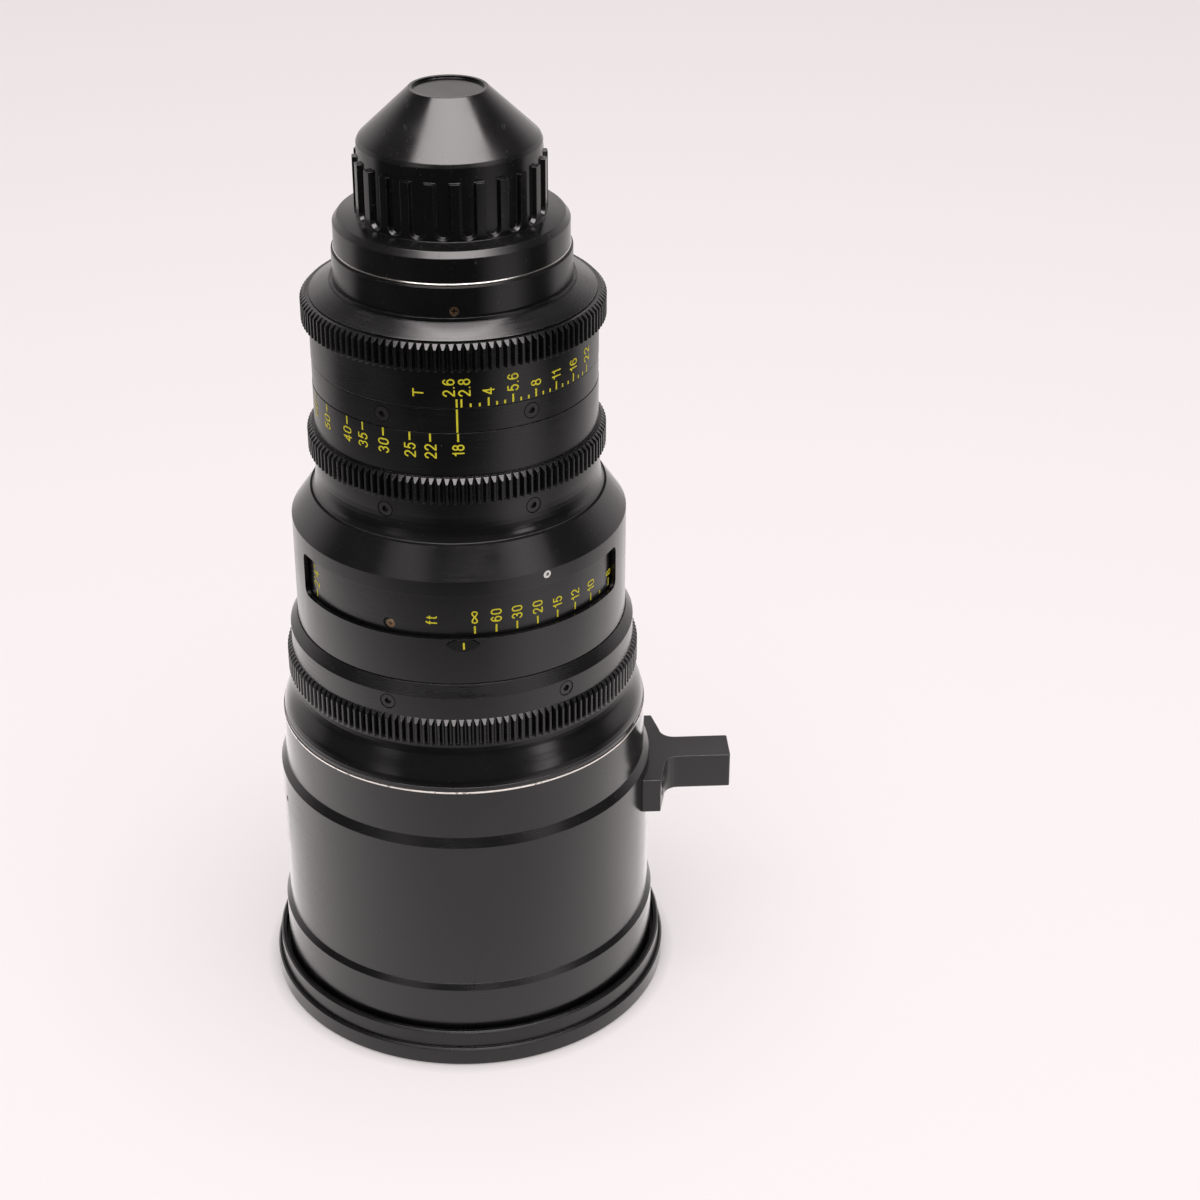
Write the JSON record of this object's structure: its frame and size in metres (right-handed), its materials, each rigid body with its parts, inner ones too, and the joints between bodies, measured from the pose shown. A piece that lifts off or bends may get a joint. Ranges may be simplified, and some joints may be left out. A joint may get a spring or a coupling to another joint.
{
  "type": "cinema zoom lens",
  "caption": "Cinema zoom lens standing on its front cap, with geared focus, zoom and iris rings, a distance scale window, a support foot and a ribbed rear cap.",
  "frame": {"origin": "centre of the front cap's closed face, which the lens stands on", "axes": "+Z along the optical axis from the front cap to the camera mount; +X along the support foot; -Y towards the index marks and the distance window"},
  "size_m": [0.166, 0.1428, 0.3289],
  "materials": {
    "barrel_black": "black anodised, satin",
    "blade_steel": "blackened spring steel",
    "cap_gloss": "moulded, glossy, lightly scuffed",
    "cap_matte": "moulded, matte and slightly rough",
    "collar_black": "black anodised, satin",
    "drum_black": "black anodised, satin",
    "flare_black": "black anodised, satin",
    "focus_black": "black anodised, satin",
    "follower_brass": "turned",
    "foot_grey": "dark grey anodised, matte",
    "glass_front": "coated",
    "glass_inner": "coated",
    "housing_black": "black anodised, satin",
    "index_black": "black anodised, satin",
    "inner_bare": "machined",
    "inner_black": "black anodised, matte",
    "iris_black": "black anodised, satin",
    "mount_steel": "turned",
    "neck_black": "black anodised, satin",
    "pin_steel": "ground",
    "plate_black": "black anodised, satin",
    "ring_black": "black anodised, satin",
    "screw_brass": "tarnished",
    "screw_bright": "plain",
    "screw_dark": "blackened",
    "shoulder_black": "black anodised, satin",
    "zoom_black": "black anodised, satin"
  },
  "bodies": {
    "barrel": {"front_ring": "ring_black", "front_barrel": "barrel_black", "front_cell": "inner_black", "front_element": "glass_front", "front_retainer": "inner_black", "support_foot": "foot_grey", "foot_screws": "screw_bright", "flare_ring": "flare_black", "main_tube": "inner_bare", "frame_screws": "screw_bright", "guide_ring": "inner_black", "scale_housing": "housing_black", "focus_index_plate": "plate_black", "set_screw": "screw_bright", "neck_ring": "neck_black", "neck_screws": "screw_dark", "rear_tube": "inner_bare", "zoom_guide_tube": "inner_bare", "index_ring": "index_black", "index_screws": "screw_dark", "iris_base": "inner_bare", "rear_barrel": "shoulder_black", "mount_collar": "collar_black", "collar_screws": "screw_brass", "lens_mount": "mount_steel", "mount_screws": "screw_bright", "rear_cell": "inner_black", "relay_element": "glass_inner", "rear_element": "glass_inner", "rear_retainer": "inner_black"},
    "focus_ring": {"focus_ring": "focus_black", "focus_cam_drum": "inner_bare", "focus_scale_drum": "drum_black", "focus_screws": "screw_dark"},
    "focus_group": {"focus_cell": "inner_black", "focus_element": "glass_inner", "focus_followers": "follower_brass"},
    "zoom_ring": {"zoom_ring": "zoom_black", "zoom_cam_drum": "inner_bare", "zoom_drive_pin": "pin_steel"},
    "variator": {"variator_cell": "inner_black", "variator_element": "glass_inner", "variator_followers": "follower_brass"},
    "compensator": {"compensator_cell": "inner_black", "compensator_element": "glass_inner", "compensator_followers": "follower_brass"},
    "iris_ring": {"iris_ring": "iris_black", "iris_drive_pin": "pin_steel", "iris_cam_plate": "inner_bare"},
    "blade_1": {"iris_blade_1": "blade_steel"},
    "blade_2": {"iris_blade_2": "blade_steel"},
    "blade_3": {"iris_blade_3": "blade_steel"},
    "blade_4": {"iris_blade_4": "blade_steel"},
    "blade_5": {"iris_blade_5": "blade_steel"},
    "blade_6": {"iris_blade_6": "blade_steel"},
    "blade_7": {"iris_blade_7": "blade_steel"},
    "blade_8": {"iris_blade_8": "blade_steel"},
    "blade_9": {"iris_blade_9": "blade_steel"},
    "front_cap": {"front_cap": "cap_matte"},
    "rear_cap": {"rear_cap": "cap_gloss"}
  },
  "joints": [
    {"name": "focus_turn", "type": "hinge", "parent": "barrel", "child": "focus_ring", "pos_m": [0, 0, 0.1359], "axis": [0, 0, 1], "range_deg": [-299, 0]},
    {"name": "focus_shift", "type": "slide", "parent": "barrel", "child": "focus_group", "axis": [0, 0, 1], "range_m": [-0.021, 0]},
    {"name": "zoom_turn", "type": "hinge", "parent": "barrel", "child": "zoom_ring", "pos_m": [0, 0, 0.2247], "axis": [0, 0, 1], "range_deg": [0, 95]},
    {"name": "variator_shift", "type": "slide", "parent": "barrel", "child": "variator", "axis": [0, 0, 1], "range_m": [0, 0.042]},
    {"name": "compensator_shift", "type": "slide", "parent": "barrel", "child": "compensator", "axis": [0, 0, 1], "range_m": [-0.012, 0]},
    {"name": "iris_turn", "type": "hinge", "parent": "barrel", "child": "iris_ring", "pos_m": [0, 0, 0.2519], "axis": [0, 0, 1], "range_deg": [-66, 0]},
    {"name": "blade_1_swing", "type": "hinge", "parent": "barrel", "child": "blade_1", "pos_m": [0, -0.0335, 0.244], "axis": [0, 0, 1], "range_deg": [-35, 0]},
    {"name": "blade_2_swing", "type": "hinge", "parent": "barrel", "child": "blade_2", "pos_m": [0.02153, -0.02566, 0.244], "axis": [0, 0, 1], "range_deg": [-35, 0]},
    {"name": "blade_3_swing", "type": "hinge", "parent": "barrel", "child": "blade_3", "pos_m": [0.03299, -0.00582, 0.244], "axis": [0, 0, 1], "range_deg": [-35, 0]},
    {"name": "blade_4_swing", "type": "hinge", "parent": "barrel", "child": "blade_4", "pos_m": [0.02901, 0.01675, 0.244], "axis": [0, 0, 1], "range_deg": [-35, 0]},
    {"name": "blade_5_swing", "type": "hinge", "parent": "barrel", "child": "blade_5", "pos_m": [0.01146, 0.03148, 0.244], "axis": [0, 0, 1], "range_deg": [-35, 0]},
    {"name": "blade_6_swing", "type": "hinge", "parent": "barrel", "child": "blade_6", "pos_m": [-0.01146, 0.03148, 0.244], "axis": [0, 0, 1], "range_deg": [-35, 0]},
    {"name": "blade_7_swing", "type": "hinge", "parent": "barrel", "child": "blade_7", "pos_m": [-0.02901, 0.01675, 0.244], "axis": [0, 0, 1], "range_deg": [-35, 0]},
    {"name": "blade_8_swing", "type": "hinge", "parent": "barrel", "child": "blade_8", "pos_m": [-0.03299, -0.00582, 0.244], "axis": [0, 0, 1], "range_deg": [-35, 0]},
    {"name": "blade_9_swing", "type": "hinge", "parent": "barrel", "child": "blade_9", "pos_m": [-0.02153, -0.02566, 0.244], "axis": [0, 0, 1], "range_deg": [-35, 0]},
    {"name": "front_cap_slide", "type": "slide", "parent": "barrel", "child": "front_cap", "axis": [0, 0, -1], "range_m": [0, 0.02]},
    {"name": "rear_cap_slide", "type": "slide", "parent": "barrel", "child": "rear_cap", "axis": [0, 0, 1], "range_m": [0, 0.04]}
  ],
  "couplings": [
    {"joint": "focus_shift", "follows": "focus_turn", "m_per_rad": 0.004024},
    {"joint": "variator_shift", "follows": "zoom_turn", "m_per_rad": 0.02533},
    {"joint": "compensator_shift", "follows": "zoom_turn", "m_per_rad": -0.007237},
    {"joint": "blade_1_swing", "follows": "iris_turn", "ratio": 0.5303},
    {"joint": "blade_2_swing", "follows": "iris_turn", "ratio": 0.5303},
    {"joint": "blade_3_swing", "follows": "iris_turn", "ratio": 0.5303},
    {"joint": "blade_4_swing", "follows": "iris_turn", "ratio": 0.5303},
    {"joint": "blade_5_swing", "follows": "iris_turn", "ratio": 0.5303},
    {"joint": "blade_6_swing", "follows": "iris_turn", "ratio": 0.5303},
    {"joint": "blade_7_swing", "follows": "iris_turn", "ratio": 0.5303},
    {"joint": "blade_8_swing", "follows": "iris_turn", "ratio": 0.5303},
    {"joint": "blade_9_swing", "follows": "iris_turn", "ratio": 0.5303}
  ]
}
